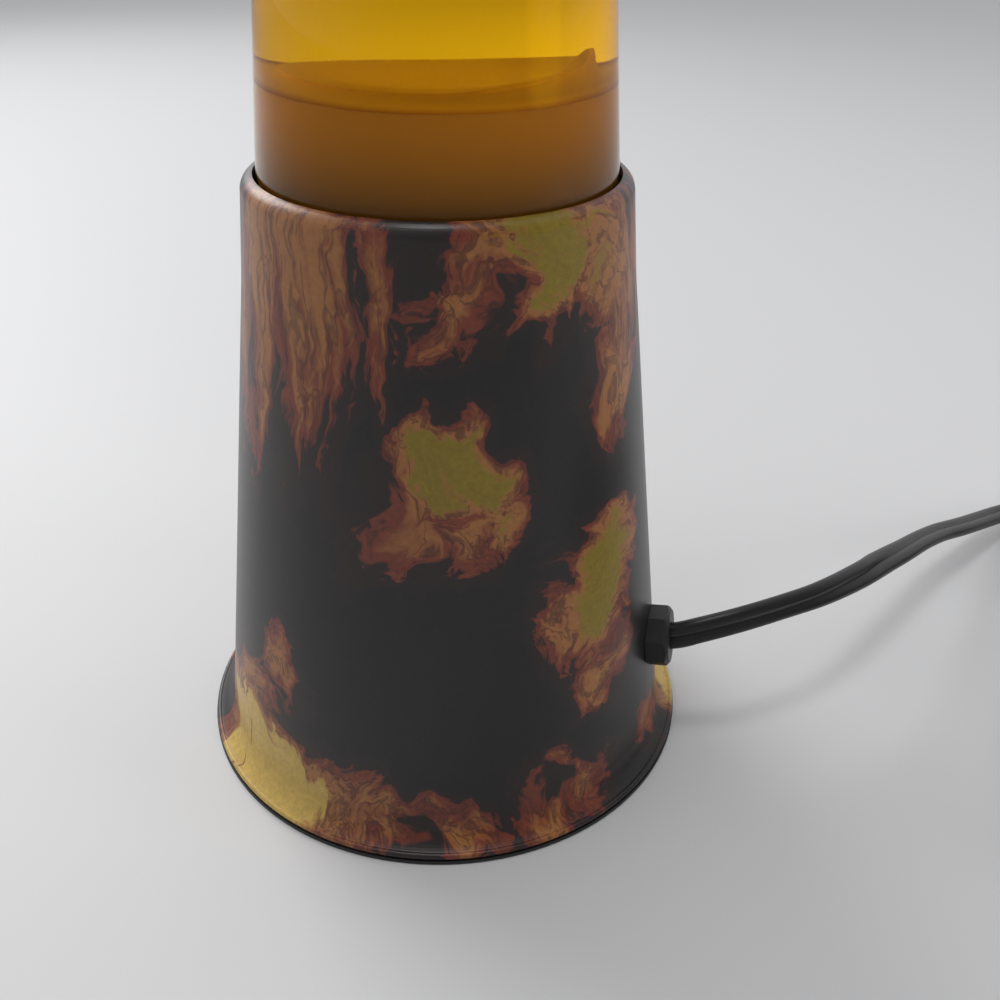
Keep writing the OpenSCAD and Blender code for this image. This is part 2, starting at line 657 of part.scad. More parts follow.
// Outside of the globe up to its mouth, and its inside from the mouth down
function globe_outside() = concat(
    [[0, globe_z + 1.4], [9, globe_z + 1.1], [heel_x - 2, globe_z]],
    arc([heel_x, heel_z], heel_r, -90, globe_tilt, 12),
    [[globe_r(shoulder_z), shoulder_z]],
    [for (i = [1:6]) [globe_r(shoulder_z) + (neck_d/2 - globe_r(shoulder_z))*ease(i/6),
        shoulder_z + (neck_z - shoulder_z)*i/6]],
    [[neck_d/2, finish_z], [finish_d/2, finish_z + 1], [finish_d/2, mouth_z - 2],
        [finish_d/2 - 0.8, mouth_z - 0.5], [finish_d/2 - 2, mouth_z]]);
function globe_floor(gap) = arc([heel_x, heel_z], heel_in_r - gap, floor_angle, globe_tilt, 10);

module globe_bottle() color([1, 0.97, 0.9, 0.35]) rotate_extrude() {
    inside = concat([[0, glass_floor_z]], globe_floor(0),
        [[bore_r(shoulder_z), shoulder_z], [neck_bore_d/2, neck_z + 1], [neck_bore_d/2, mouth_z]]);
    polygon(concat(globe_outside(), [for (i = [len(inside) - 1:-1:0]) inside[i]]));
}

// Top of the wax from the wall to the axis: a slope, then the raised plateau with its thin edge
function wax_top(gap) =
    let (edge = bore_r(wax_z) - plateau_gap, under = edge - 0.6*plateau_h)
    [[bore_r(wax_z) - seat_gap, wax_z + gap], [edge - 0.2*plateau_h, wax_z + plateau_h/4 + gap],
        [under + 2.2*gap, wax_z + plateau_h/2], [edge + 2.5*gap, wax_z + 0.75*plateau_h],
        [under, wax_z + plateau_h + gap], [edge/2, wax_z + 0.8*plateau_h + gap],
        [0, wax_z + plateau_h + gap]];

module wax() color("#b5651d") difference() {
    rotate_extrude() polygon(concat([[0, glass_floor_z + seat_gap]],
        [for (q = globe_floor(seat_gap)) [q[0], max(q[1], glass_floor_z + seat_gap)]], wax_top(0)));
    rotate_extrude() translate([heater_ring_d/2, heater_z]) circle(heater_d/2 + lift_gap);
}

module liquid() color([0.86, 0.55, 0.02, 0.6]) rotate_extrude() {
    below = wax_top(seat_gap);
    polygon(concat([for (i = [len(below) - 1:-1:0]) below[i]],
        [[bore_r(fill_z) - seat_gap, fill_z], [0, fill_z]]));
}

// Wire coil laid in an open ring on the globe's floor
module heater_coil() color("#8d8d8d") {
    steps = 8;
    count = heater_curls*steps;
    sweep = 340;
    route = [for (i = [0:count]) let (a = sweep*i/count, b = 360*i/steps)
        [(heater_ring_d/2 + heater_r*cos(b))*cos(a), (heater_ring_d/2 + heater_r*cos(b))*sin(a),
         heater_z + heater_r*sin(b)]];
    tube(rings(route, [for (q = route) 0], round_section(heater_wire_d/2, 6)));
    curl_gap = (heater_ring_d/2 - heater_r)*sweep/heater_curls*PI/180 - heater_wire_d;
    echo(heater_least_gap_mm = curl_gap);
}

module crown_liner() color("#e8e4da") translate([0, 0, mouth_z + seat_gap])
    cylinder(r = crown_in_r - seat_gap, h = liner_t);

// Tin crown with a fluted skirt
module crown_cap() color("#c0a860") {
    r = crown_in_r;
    top = crown_z + crown_t;
    skirt = top - crown_h;
    rotate_extrude() polygon([[0, crown_z], [r, crown_z], [r, skirt], [r + crown_t, skirt],
        [r + crown_t, crown_z - 1.3*crown_t], [r - 0.9*crown_t, top], [0, top]]);
    for (i = [0:crown_flutes - 1]) rotate(360*i/crown_flutes)
        translate([r + 0.5*crown_t, 0, skirt]) cylinder(d = flute_d, h = 0.6*crown_h);
}

// Spun cap: rolled edge below, tapered wall, rounded top
module top_cap() color("#3a2416") rotate_extrude() {
    top_r = cap_top_d/2;
    slope = (cap_foot_r - top_r)/(cap_shoulder_z - cap_lip_z);
    side = sheet/cos(atan(slope));
    c = [top_r - cap_edge_r, cap_shoulder_z];
    polygon(concat([[cap_foot_r - side, cap_lip_z], [cap_foot_r, cap_lip_z]], arc(c, cap_edge_r, 0, 90, 8),
        [[0, cap_top_z], [0, cap_top_z - sheet]], arc(c, cap_edge_r - sheet, 90, 0, 8)));
    translate([cap_lip_x, cap_lip_z]) circle(d = cap_bead_d);
}

// The cord from the base to the switch: upright in the strain relief, flat on the table
module cord_lead() color("#161616") {
    roll = [for (i = [0:len(lead_route) - 1]) 90*ease((i - lead_upright)/(lead_flat - lead_upright))];
    tube(rings(lead_route, roll, cord_section(8)));
}

module cord_tail() color("#161616") {
    n = len(tail_route);
    roll = [for (i = [0:n - 1]) 90*(1 - ease((i - 1)/(n - 3)))];
    tube(rings(tail_route, roll, cord_section(8)));
}

// The coil: two layers, in along the lower one and out along the upper one, then straight to the plug
function coil_point(u) =
    let (a = coil_start - 360*u,
        r = coil_r - coil_step*min(u, 2*coil_turns - u),
        z = coil_low + (coil_high - coil_low)*ease((u - coil_turns)/climb_turns + 0.5))
    [coil_at[0] + r*cos(a), coil_at[1] + r*sin(a), z];
coil_count = round(2*coil_turns*coil_rings);
coil_route = concat(
    [[coil_entry_at[0], coil_entry_at[1], coil_low]],
    [for (i = [0:coil_count]) coil_point(i/coil_rings)],
    [for (s = [6, 12, 18, 24, 28, coil_run]) let (q = coil_end_at + s*plug_dir)
        [q[0], q[1], coil_high + (plug_h/2 - coil_high)*ease((s - 2)/24)]]);
coil_roll = [for (i = [0:len(coil_route) - 1]) 90*ease((i - coil_count - 1)/4.5)];
coil_all = rings(coil_route, coil_roll, cord_section(6));

module cord_coil() color("#161616") {
    tube(coil_all);
    apart = coil_rings/2;
    n = len(coil_all);
    gaps = [for (i = [0:n - 1]) for (j = [i + apart:n - 1])
        if (norm(coil_route[i] - coil_route[j]) < 2*cord_w)
            min([for (p = coil_all[i], q = coil_all[j]) norm(p - q)])];
    echo(coil_least_gap_mm = min(gaps));
}

// Strap round the bundle of turns
module cord_tie() color("#202020") {
    strap = 0.5;
    room = 0.5;
    inner = coil_r - coil_step*coil_turns - cord_t/2 - room;
    outer = coil_r - 2/3*coil_step + cord_t/2 + room;
    low = strap;
    high = coil_high + cord_w/2 + room;
    translate([coil_at[0], coil_at[1], 0]) rotate(60) rotate([90, 0, 0]) linear_extrude(6, center = true)
        translate([(inner + outer)/2, (low + high)/2]) difference() {
            rounded(outer - inner + 2*strap, high - low + 2*strap, 1.5);
            rounded(outer - inner, high - low, 1);
        }
}

module at_switch() { translate([switch_at[0], switch_at[1], 0]) rotate(-90) children(); }

// The whole housing of the switch, from its plan, side and end outlines
module switch_form() intersection() {
    linear_extrude(switch_h) intersection() {
        square([switch_l, switch_w], center = true);
        translate([0, switch_end_arc - switch_w/2]) circle(switch_end_arc, $fn = 200);
        translate([0, switch_w/2 - switch_end_arc]) circle(switch_end_arc, $fn = 200);
    }
    translate([0, 0, switch_h/2]) rotate([90, 0, 0]) linear_extrude(switch_w + 2, center = true)
        softened(switch_l, switch_h, 5);
    translate([0, 0, switch_h/2]) rotate([90, 0, 90]) linear_extrude(switch_l + 2, center = true)
        softened(switch_w, switch_h, 4);
}
module above(z) { translate([-switch_l, -switch_l, z]) cube([2*switch_l, 2*switch_l, 2*switch_h]); }
module at_switch_screws() { for (x = [-1, 1]) translate([x*0.36*switch_l, 0]) children(); }

module switch_lower() color("#121212") at_switch() difference() {
    switch_form();
    above(switch_seam - seat_gap);
    at_switch_screws() {
        cylinder(d = 2.4 + 2*pin_gap, h = 20, center = true);
        cylinder(r = 2.5, h = 4, center = true);
    }
}

// Upper half with the rocker's well and the bearings of its pins
module switch_upper() color("#121212") at_switch() difference() {
    intersection() {
        switch_form();
        above(switch_seam + seat_gap);
    }
    translate([-window_l/2, -window_w/2, switch_seam + 1]) cube([window_l, window_w, 20]);
    translate([0, 0, rocker_z]) rotate([90, 0, 0])
        cylinder(r = rocker_pin_r + pin_gap, h = rocker_w + 2*rocker_pin_l + 0.6, center = true);
    at_switch_screws() cylinder(d = 2.4 + 2*pin_gap, h = 2*(switch_seam + 4), center = true);
}

// Rocker with a dished top, stored with its far end up
module switch_rocker() color("#1c1c1c") at_switch() translate([0, 0, rocker_z])
    rotate([0, -rocker_swing/2, 0]) rotate([90, 0, 0]) {
        half = rocker_l/2;
        linear_extrude(rocker_w, center = true)
            polygon([[-half, 5.2], [0, 3.6], [half, 5.2], [half - 0.5, 0.5], [4, -2.4], [-4, -2.4],
                [0.5 - half, 0.5]]);
        cylinder(r = rocker_pin_r, h = rocker_w + 2*rocker_pin_l, center = true);
    }

module switch_screws() color("#9a9da0") at_switch() at_switch_screws() translate([0, 0, 2 - seat_gap]) {
    cylinder(d = 2.4, h = switch_seam);
    translate([0, 0, -1.4]) cylinder(r = 2.3, h = 1.4);
}

module at_plug() { translate([plug_at[0], plug_at[1], plug_h/2]) rotate(plug_turn) children(); }
module at_blades() { for (s = [-1, 1]) translate([plug_l, s*blade_pitch/2, 0]) children(); }

// Outline of the plug from its neck to its face, as half widths
function plug_half(neck, full) = concat(
    [[0, neck/2], [5, neck/2 + 0.6]],
    [for (i = [1:5]) [5 + 9*i/5, neck/2 + 0.6 + (full/2 - neck/2 - 0.6)*ease(i/5)]],
    [[plug_l - 1.5, full/2], [plug_l, full/2 - 1.2]]);
module plug_outline(neck, full) {
    half = plug_half(neck, full);
    polygon(concat(half, [for (i = [len(half) - 1:-1:0]) [half[i][0], -half[i][1]]]));
}

// Moulded plug: plan, side and end outlines, with grip grooves on both sides
module plug_body() color("#121212") at_plug() difference() {
    intersection() {
        linear_extrude(plug_h, center = true) plug_outline(plug_neck_w, plug_w);
        rotate([90, 0, 0]) linear_extrude(plug_w, center = true) plug_outline(plug_neck_h, plug_h);
        rotate([90, 0, 90]) linear_extrude(plug_l) rounded(plug_w, plug_h, 5);
    }
    for (x = [16, 19.5, 23], s = [-1, 1]) translate([x, s*(plug_w/2 + 0.3), 0])
        cylinder(r = 1, h = plug_h, center = true);
    at_blades() translate([-blade_root - seat_gap, -blade_t/2 - seat_gap, -0.625*blade_w - seat_gap])
        cube([blade_root + 1, blade_t + 2*seat_gap, 1.25*blade_w + 2*seat_gap]);
}

module plug_blades() color("#c9b27a") at_plug() at_blades() difference() {
    translate([-blade_root, -blade_t/2, -blade_w/2]) cube([blade_root + blade_l, blade_t, blade_w]);
    translate([blade_l - 5, 0, 0]) rotate([90, 0, 0])
        cylinder(d = blade_hole_d, h = 4*blade_t, center = true);
}

base_shell();
globe_seat();
seat_gasket();
shell_lugs();
base_cover();
cover_screws();
strain_relief();
socket_bracket();
bracket_screws();
socket_screw();
socket_body();
socket_shell();
socket_contact();
terminal_screws();
lead_wires();
bulb_tip();
bulb_insulator();
bulb_cap();
bulb_glass();
bulb_stem();
bulb_filament();
globe_bottle();
liquid();
wax();
heater_coil();
crown_liner();
crown_cap();
top_cap();
cord_lead();
switch_lower();
switch_upper();
switch_rocker();
switch_screws();
cord_tail();
cord_coil();
cord_tie();
plug_body();
plug_blades();
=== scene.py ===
"""Looks for a liquid motion lamp: flame-printed base, amber globe, flat twin cord."""

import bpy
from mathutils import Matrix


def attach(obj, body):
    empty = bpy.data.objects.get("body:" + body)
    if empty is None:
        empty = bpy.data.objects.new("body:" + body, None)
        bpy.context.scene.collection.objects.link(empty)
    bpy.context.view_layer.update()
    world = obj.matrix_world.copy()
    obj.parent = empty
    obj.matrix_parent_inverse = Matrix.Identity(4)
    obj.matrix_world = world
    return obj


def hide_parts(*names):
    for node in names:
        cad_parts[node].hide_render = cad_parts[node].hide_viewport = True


bl_info = {
    "name": "Liquid motion lamp",
    "version": (1, 0, 0),
    "blender": (4, 2, 0),
    "location": "View3D > Sidebar > Lamp",
    "description": "Dresses the lamp's frame with its print, glass, liquid, cord and stage",
    "category": "Object",
}

import math

import bpy
from bpy.props import FloatProperty, FloatVectorProperty, IntProperty, PointerProperty
from mathutils import Matrix, Vector

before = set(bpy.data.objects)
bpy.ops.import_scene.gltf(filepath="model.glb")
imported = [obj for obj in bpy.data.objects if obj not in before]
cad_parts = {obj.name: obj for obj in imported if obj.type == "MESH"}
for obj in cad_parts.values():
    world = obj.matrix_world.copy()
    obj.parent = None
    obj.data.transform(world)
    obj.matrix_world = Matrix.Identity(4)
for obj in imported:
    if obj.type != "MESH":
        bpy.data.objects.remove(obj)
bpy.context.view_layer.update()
MM = 0.001

# The camera, from the photograph's perspective: eye, view direction and up in the lamp's frame
EYE = (0.05076, -0.16099, 0.14892)
LOOK = (-0.20536, 0.82616, -0.52468)
UP = (-0.14271, 0.50510, 0.85118)
LENS = 38.1
SENSOR = 36.0
PICTURE = 1000
SHADE_SIDE = (0.66, -0.72, 0.2)

# The cord's route in millimetres, as in the part's source
LEAD = [
    (28.864, 0, 20.095), (36.801, 0, 21.098), (44.638, 0, 22.089), (49.8, 0.9, 23.9),
    (57, 4, 25.6), (64, 9.2, 26), (71.5, 16.2, 25.7), (79.5, 27.5, 23.8), (84, 35.7, 22),
    (89.5, 45.5, 19.6), (95, 56, 16.8), (100.5, 65.7, 13.8), (107, 75, 10.8), (113, 84, 8),
    (119, 92.5, 5.6), (126, 100.5, 3.6), (134.5, 107.5, 2.2), (144.5, 112.5, 1.6),
    (156, 115, 1.5), (168, 114.5, 1.5), (179.5, 111, 1.8), (190, 105, 2.6), (199.5, 97, 4.2),
    (207.5, 89, 6.2), (212, 81, 7.4), (212, 75.05, 7.5),
]
LEAD_UPRIGHT = 5
LEAD_FLAT = 10
TAIL = [
    (212, 16.95, 7.5), (212, 12, 7.3), (210.8, 5, 6.8), (207.8, -1, 5.9), (202.5, -6.3, 4.9),
    (195.5, -10.6, 4), (187, -15.4, 3.6),
]
COIL_AT = (154, 10)
COIL_R = 38.5
COIL_STEP = 4.2
COIL_START = -60
COIL_TURNS = 3 + 17 / 24
COIL_RINGS = 24
COIL_LOW = 3.6
COIL_HIGH = 9.65
COIL_CLIMB = 0.24
COIL_ENTRY = 6
RUN_STEPS = (6, 12, 18, 24, 28, 34)
PLUG_Z = 8.5

# The print's hot patches: azimuth in degrees, height and reach in millimetres, heat
FRONT_PATCHES = (
    (-57, 101, 8, 0.45), (-70, 93, 8, 0.45), (-43, 104, 10, 0.8), (-46, 97, 8, 0.85), (-50, 90, 6, 0.8),
    (-30, 102, 9, 0.5), (-24, 95, 10, 0.5), (-18, 78, 8, 0.45), (-75, 71, 9, 0.85), (-65, 71, 8, 0.85),
    (-82, 63, 9, 0.45), (-69, 61, 9, 0.45), (-59, 64, 7, 0.45), (-28, 51, 10, 0.9), (-29, 42, 10, 0.95),
    (-27, 30, 9, 0.5), (-42, 40, 8, 0.45), (-120, 5, 11, 1.1), (-112, 4, 10, 0.8), (-120, 27, 8, 0.45),
    (-101, 5, 11, 0.5), (-86, 4, 8, 0.45), (-70, 3, 7, 0.42), (-49, 3, 9, 0.5), (-33, 7, 7, 0.45),
    (-40, 10, 5, 0.4), (-140, 8, 12, 0.85), (-152, 12, 10, 0.6), (-10, 4, 7, 0.5), (11, 3, 11, 0.9),
    (-75, 6, 5, 0.35), (-130, 17, 9, 0.5),
)
BACK_PATCHES = (
    (20, 99, 10, 0.8), (28, 93, 8, 0.8), (34, 102, 8, 0.45), (38, 88, 9, 0.45), (12, 90, 7, 0.45),
    (62, 68, 10, 0.85), (70, 62, 8, 0.85), (54, 60, 9, 0.45), (66, 53, 9, 0.5), (78, 70, 7, 0.45),
    (92, 98, 9, 0.5), (112, 46, 10, 0.9), (114, 37, 9, 0.9), (104, 40, 8, 0.45), (116, 27, 9, 0.5),
    (140, 84, 9, 0.85), (148, 78, 8, 0.85), (136, 74, 9, 0.45), (150, 70, 8, 0.45), (156, 88, 7, 0.45),
    (172, 50, 9, 0.85), (176, 42, 8, 0.8), (168, 40, 9, 0.45), (182, 54, 7, 0.45), (178, 30, 8, 0.45),
    (196, 72, 8, 0.5), (35, 4, 9, 0.5), (48, 6, 10, 0.85), (58, 4, 9, 0.45), (80, 4, 8, 0.45),
    (98, 5, 10, 0.5), (120, 4, 7, 0.42), (138, 8, 13, 1.0), (150, 4, 9, 0.6), (184, 5, 10, 0.5),
)
CAP_PATCHES = (
    (-110, 316, 7, 0.8), (-102, 310, 6, 0.75), (-118, 308, 7, 0.45), (-96, 302, 7, 0.45),
    (-48, 298, 7, 0.85), (-40, 292, 6, 0.8), (-55, 290, 7, 0.45), (-36, 284, 7, 0.45),
    (25, 318, 7, 0.8), (32, 310, 6, 0.5),
    (80, 290, 7, 0.85), (90, 284, 6, 0.8), (72, 282, 7, 0.45), (86, 274, 7, 0.45), (150, 312, 7, 0.85),
    (160, 305, 6, 0.75), (142, 302, 7, 0.45), (200, 286, 7, 0.8), (208, 280, 6, 0.5), (192, 276, 7, 0.45),
    (-85, 270, 7, 0.6), (-10, 268, 6, 0.5), (50, 266, 6, 0.5), (130, 267, 7, 0.6),
)
STREAKS = (
    (-128, 96, 12, 0.45), (-113, 96, 11, 0.42), (-101, 99, 9, 0.42), (-118, 82, 5, 0.28),
    (-132, 76, 5, 0.22), (-14, 96, 8, 0.35), (64, 97, 8, 0.38), (105, 94, 10, 0.42), (121, 90, 9, 0.4),
)
STREAK_SQUASH = 0.4
WALL_FOOT_R = 43.5
WALL_SLOPE = 0.12653
CAP_FOOT = (17.2, 262.85)
CAP_SLOPE = 0.0754


# The skin round the wax's plateau: its ring, its lowest height, where it stands highest, tilt and curl
SKIN_R = (14.0, 17.9)
SKIN_Z = 119.9
SKIN_AT = 17.0
SKIN_TILT = 1.6
SKIN_TILT_TURN = 100
SKIN_CURL = 1.8
SKIN_CURL_TURN = 14
SKIN_LIP_R = 17.3
SKIN_RISE = 3

# The globe in millimetres: radius, taper and the height both start from, wall, heel and shoulder
GLOBE_R = 28.15
GLOBE_TAPER = 0.083
TAPER_Z = 107.603
GLASS_WALL = 2.408
GLOBE_Z = 98.4
HEEL_AT = (19.679, 106.9)
HEEL_R = 8.5
HEEL_BORE_R = 6.1
HEEL_END = 4.745
FLOOR_START = -53.4
FLOOR_Z = 102.0
SHOULDER = (14.92, 267.0)
NECK_R = 12.3
NECK_RISE = 5.5
NECK_STEPS = 8
MOUTH_Z = 283.0
WAX_RIM_Z = 119.3
LIQUID_FOOT_Z = 119.2
LIQUID_TOP_Z = 264
WALL_LAP = 0.1

# The stage in metres: half the table, and each light's place, aim and size
TABLE_HALF = 3.0
LIGHT_AIM = (0, 0, 0.05)
KEY_AT, KEY_SIZE = (-0.05, -0.08, 1.2), 0.3
WINDOW_AT, WINDOW_SIZE = (-0.8, 0.58, 0.72), 0.73
FILL_AT, FILL_AIM, FILL_SIZE = (0.75, 0.0, 0.19), (0, 0, 0.08), 0.35
HELD_SPREAD = 120


class CordSizes(bpy.types.PropertyGroup):
    width: FloatProperty(
        name="Width", description="Width of the flat twin cord", default=0.0056, unit="LENGTH"
    )
    thickness: FloatProperty(
        name="Thickness", description="Thickness of the flat twin cord", default=0.0028, unit="LENGTH"
    )
    groove: FloatProperty(
        name="Groove", description="Thickness left between the two conductors", default=0.0016, unit="LENGTH"
    )
    color: FloatVectorProperty(
        name="Colour", description="Colour of the vinyl", subtype="COLOR", default=(0.009, 0.009, 0.0095)
    )


class PrintLook(bpy.types.PropertyGroup):
    char: FloatVectorProperty(
        name="Char", description="Darkest field of the print", subtype="COLOR",
        default=(0.015, 0.0128, 0.0135),
    )
    umber: FloatVectorProperty(
        name="Umber", description="Smears in the dark field", subtype="COLOR", default=(0.026, 0.0145, 0.013)
    )
    ember: FloatVectorProperty(
        name="Ember", description="Red edge of the flames", subtype="COLOR", default=(0.2, 0.043, 0.023)
    )
    flame: FloatVectorProperty(
        name="Flame", description="Orange body of the flames", subtype="COLOR", default=(0.37, 0.15, 0.045)
    )
    glow: FloatVectorProperty(
        name="Glow", description="Yellow heart of the flames", subtype="COLOR", default=(0.26, 0.183, 0.016)
    )
    # Painted light: the print's yellow, painted brighter at the foot, where the flare faces up into the
    # light
    foot_yellow_and_light: FloatVectorProperty(
        name="Blaze", description="Brightest yellow at the foot", subtype="COLOR", default=(0.62, 0.42, 0.1)
    )
    scorch: FloatVectorProperty(
        name="Scorch", description="Dark red threads in the flames", subtype="COLOR",
        default=(0.055, 0.014, 0.012),
    )
    wisp_scale: FloatProperty(name="Wisp scale", description="Wisps per metre", default=85.0)
    roughness: FloatProperty(
        name="Roughness", description="Satin of the lacquer", default=0.42, subtype="FACTOR"
    )
    specular: FloatProperty(
        name="Sheen", description="Mirror share of the lacquer", default=0.32, subtype="FACTOR"
    )
    coat: FloatProperty(
        name="Coat", description="Share of clear coat over the print", default=0.3, subtype="FACTOR"
    )


class GlobeLook(bpy.types.PropertyGroup):
    tint: FloatVectorProperty(
        name="Liquid", description="Light that one surface of the liquid lets through", subtype="COLOR",
        default=(1.0, 0.515, 0.0015),
    )
    wax: FloatVectorProperty(
        name="Wax", description="Colour of the settled wax", subtype="COLOR", default=(0.95, 0.7, 0.25)
    )
    # Painted shade: the wax's sides and foot are darker copies of its lit top colour, darkest low down
    # inside the base
    wax_side_shaded: FloatVectorProperty(
        name="Wax side", description="Colour of the wax against the glass, high up", subtype="COLOR",
        default=(0.57, 0.205, 0.003),
    )
    wax_foot_shaded: FloatVectorProperty(
        name="Wax foot", description="Colour of the wax against the glass, low down", subtype="COLOR",
        default=(0.25, 0.1, 0.008),
    )
    mirror: FloatVectorProperty(
        name="Mirror", description="Share of the mirror image on the glass", subtype="COLOR",
        default=(0.5, 0.5, 0.5),
    )
    steps: IntProperty(name="Steps", description="Steps round the globe", default=192)


class StageLook(bpy.types.PropertyGroup):
    floor: FloatVectorProperty(
        name="Floor", description="Colour of the table", subtype="COLOR", default=(0.74, 0.74, 0.745)
    )
    backdrop: FloatVectorProperty(
        name="Backdrop", description="Colour behind the table", subtype="COLOR", default=(0.75, 0.75, 0.76)
    )
    corner: FloatVectorProperty(
        name="Corner", description="Colour of the backdrop to the right and front", subtype="COLOR",
        default=(0.3, 0.3, 0.305),
    )
    sky: FloatVectorProperty(
        name="Sky", description="Colour of the surrounding light", subtype="COLOR", default=(0.97, 0.98, 1.0)
    )
    bright: FloatVectorProperty(
        name="Bright", description="Colour of the light from the left and back", subtype="COLOR", max=4.0,
        default=(1.4, 1.41, 1.43),
    )
    dusk: FloatVectorProperty(
        name="Dusk", description="Colour of the light from the right and front", subtype="COLOR",
        default=(0.15, 0.15, 0.155),
    )
    sky_power: FloatProperty(name="Sky power", description="Strength of the surrounding light", default=0.58)
    key_power: FloatProperty(
        name="Key power", description="Power of the key light", default=2.4, unit="POWER"
    )
    window_power: FloatProperty(
        name="Window power", description="Power of the broad light from the left", default=3.0, unit="POWER"
    )
    fill_power: FloatProperty(
        name="Fill power", description="Power of the low light from the right", default=0.6, unit="POWER"
    )


def ease(t):
    k = min(max(t, 0.0), 1.0)
    return k * k * (3 - 2 * k)


def spline(points, steps):
    """A smooth line through the points, and each sample's place counted in points."""
    pts = [Vector(p) for p in points]
    out, places = [], []
    for i in range(len(pts) - 1):
        p0, p1, p2, p3 = pts[max(i - 1, 0)], pts[i], pts[i + 1], pts[min(i + 2, len(pts) - 1)]
        d = (p2 - p1).length
        m1 = (p2 - p0) * (d / max((p2 - p1).length + (p1 - p0).length, 1e-9))
        m2 = (p3 - p1) * (d / max((p3 - p2).length + (p2 - p1).length, 1e-9))
        for k in range(steps):
            t = k / steps
            a, b = 2 * t**3 - 3 * t**2 + 1, t**3 - 2 * t**2 + t
            c, e = 3 * t**2 - 2 * t**3, t**3 - t**2
            out.append(a * p1 + b * m1 + c * p2 + e * m2)
            places.append(i + t)
    out.append(pts[-1])
    places.append(len(pts) - 1)
    return out, places


def length_of(path):
    return sum((b - a).length for a, b in zip(path, path[1:]))


def new_object(name, verts, faces, material, sharp=30):
    mesh = bpy.data.meshes.new(name)
    mesh.from_pydata([tuple(v) for v in verts], [], faces)
    mesh.update()
    mesh.shade_smooth()
    mesh.set_sharp_from_angle(angle=math.radians(sharp))
    mesh.materials.append(material)
    obj = bpy.data.objects.new(name, mesh)
    bpy.context.scene.collection.objects.link(obj)
    return obj


def revolve(name, profile, steps, material, sharp=30):
    """A closed body of revolution from (radius, height) points in millimetres, listed outside first."""
    verts, rows = [], []
    for r, z in profile:
        if r < 1e-6:
            rows.append([len(verts)] * steps)
            verts.append((0, 0, z * MM))
            continue
        rows.append(list(range(len(verts), len(verts) + steps)))
        for k in range(steps):
            a = 2 * math.pi * k / steps
            verts.append((r * MM * math.cos(a), r * MM * math.sin(a), z * MM))
    faces = []
    pairs = list(zip(rows, rows[1:]))
    if profile[0][0] > 1e-6:
        pairs.append((rows[-1], rows[0]))
    for low, high in pairs:
        for k in range(steps):
            n = (k + 1) % steps
            face = [low[k], low[n], high[n], high[k]]
            face = [v for i, v in enumerate(face) if v not in face[:i]]
            if len(face) > 2:
                faces.append(face)
    return new_object(name, verts, faces, material, sharp)


def twin_section(width, thickness, groove):
    """Outline of a flat twin cord: two round conductors and the groove between them, as (thin, wide)."""
    r = thickness / 2
    out = []
    for side in (1, -1):
        for k in range(9):
            a = math.radians(-115 + 230 * k / 8)
            out.append((side * r * math.sin(a), side * (width / 2 - r + r * math.cos(a))))
        out.append((side * groove / 2, 0))
    return out


def sweep(name, path, rolls, section, material):
    """A tube over the path. At roll 0 the section's width stands upright, at 90 it lies flat."""
    verts, faces = [], []
    n = len(section)
    for i, p in enumerate(path):
        t = (path[min(i + 1, len(path) - 1)] - path[max(i - 1, 0)]).normalized()
        side = Vector((0, 0, 1)).cross(t).normalized()
        up = t.cross(side)
        roll = math.radians(rolls[i])
        thin = side * math.cos(roll) - up * math.sin(roll)
        wide = side * math.sin(roll) + up * math.cos(roll)
        verts += [p + thin * q[0] + wide * q[1] for q in section]
    for i in range(len(path) - 1):
        for j in range(n):
            a, b = i * n + j, i * n + (j + 1) % n
            faces.append((a, b, b + n, a + n))
    faces.append(tuple(reversed(range(n))))
    faces.append(tuple(range(n * (len(path) - 1), n * len(path))))
    return new_object(name, verts, faces, material, 60)


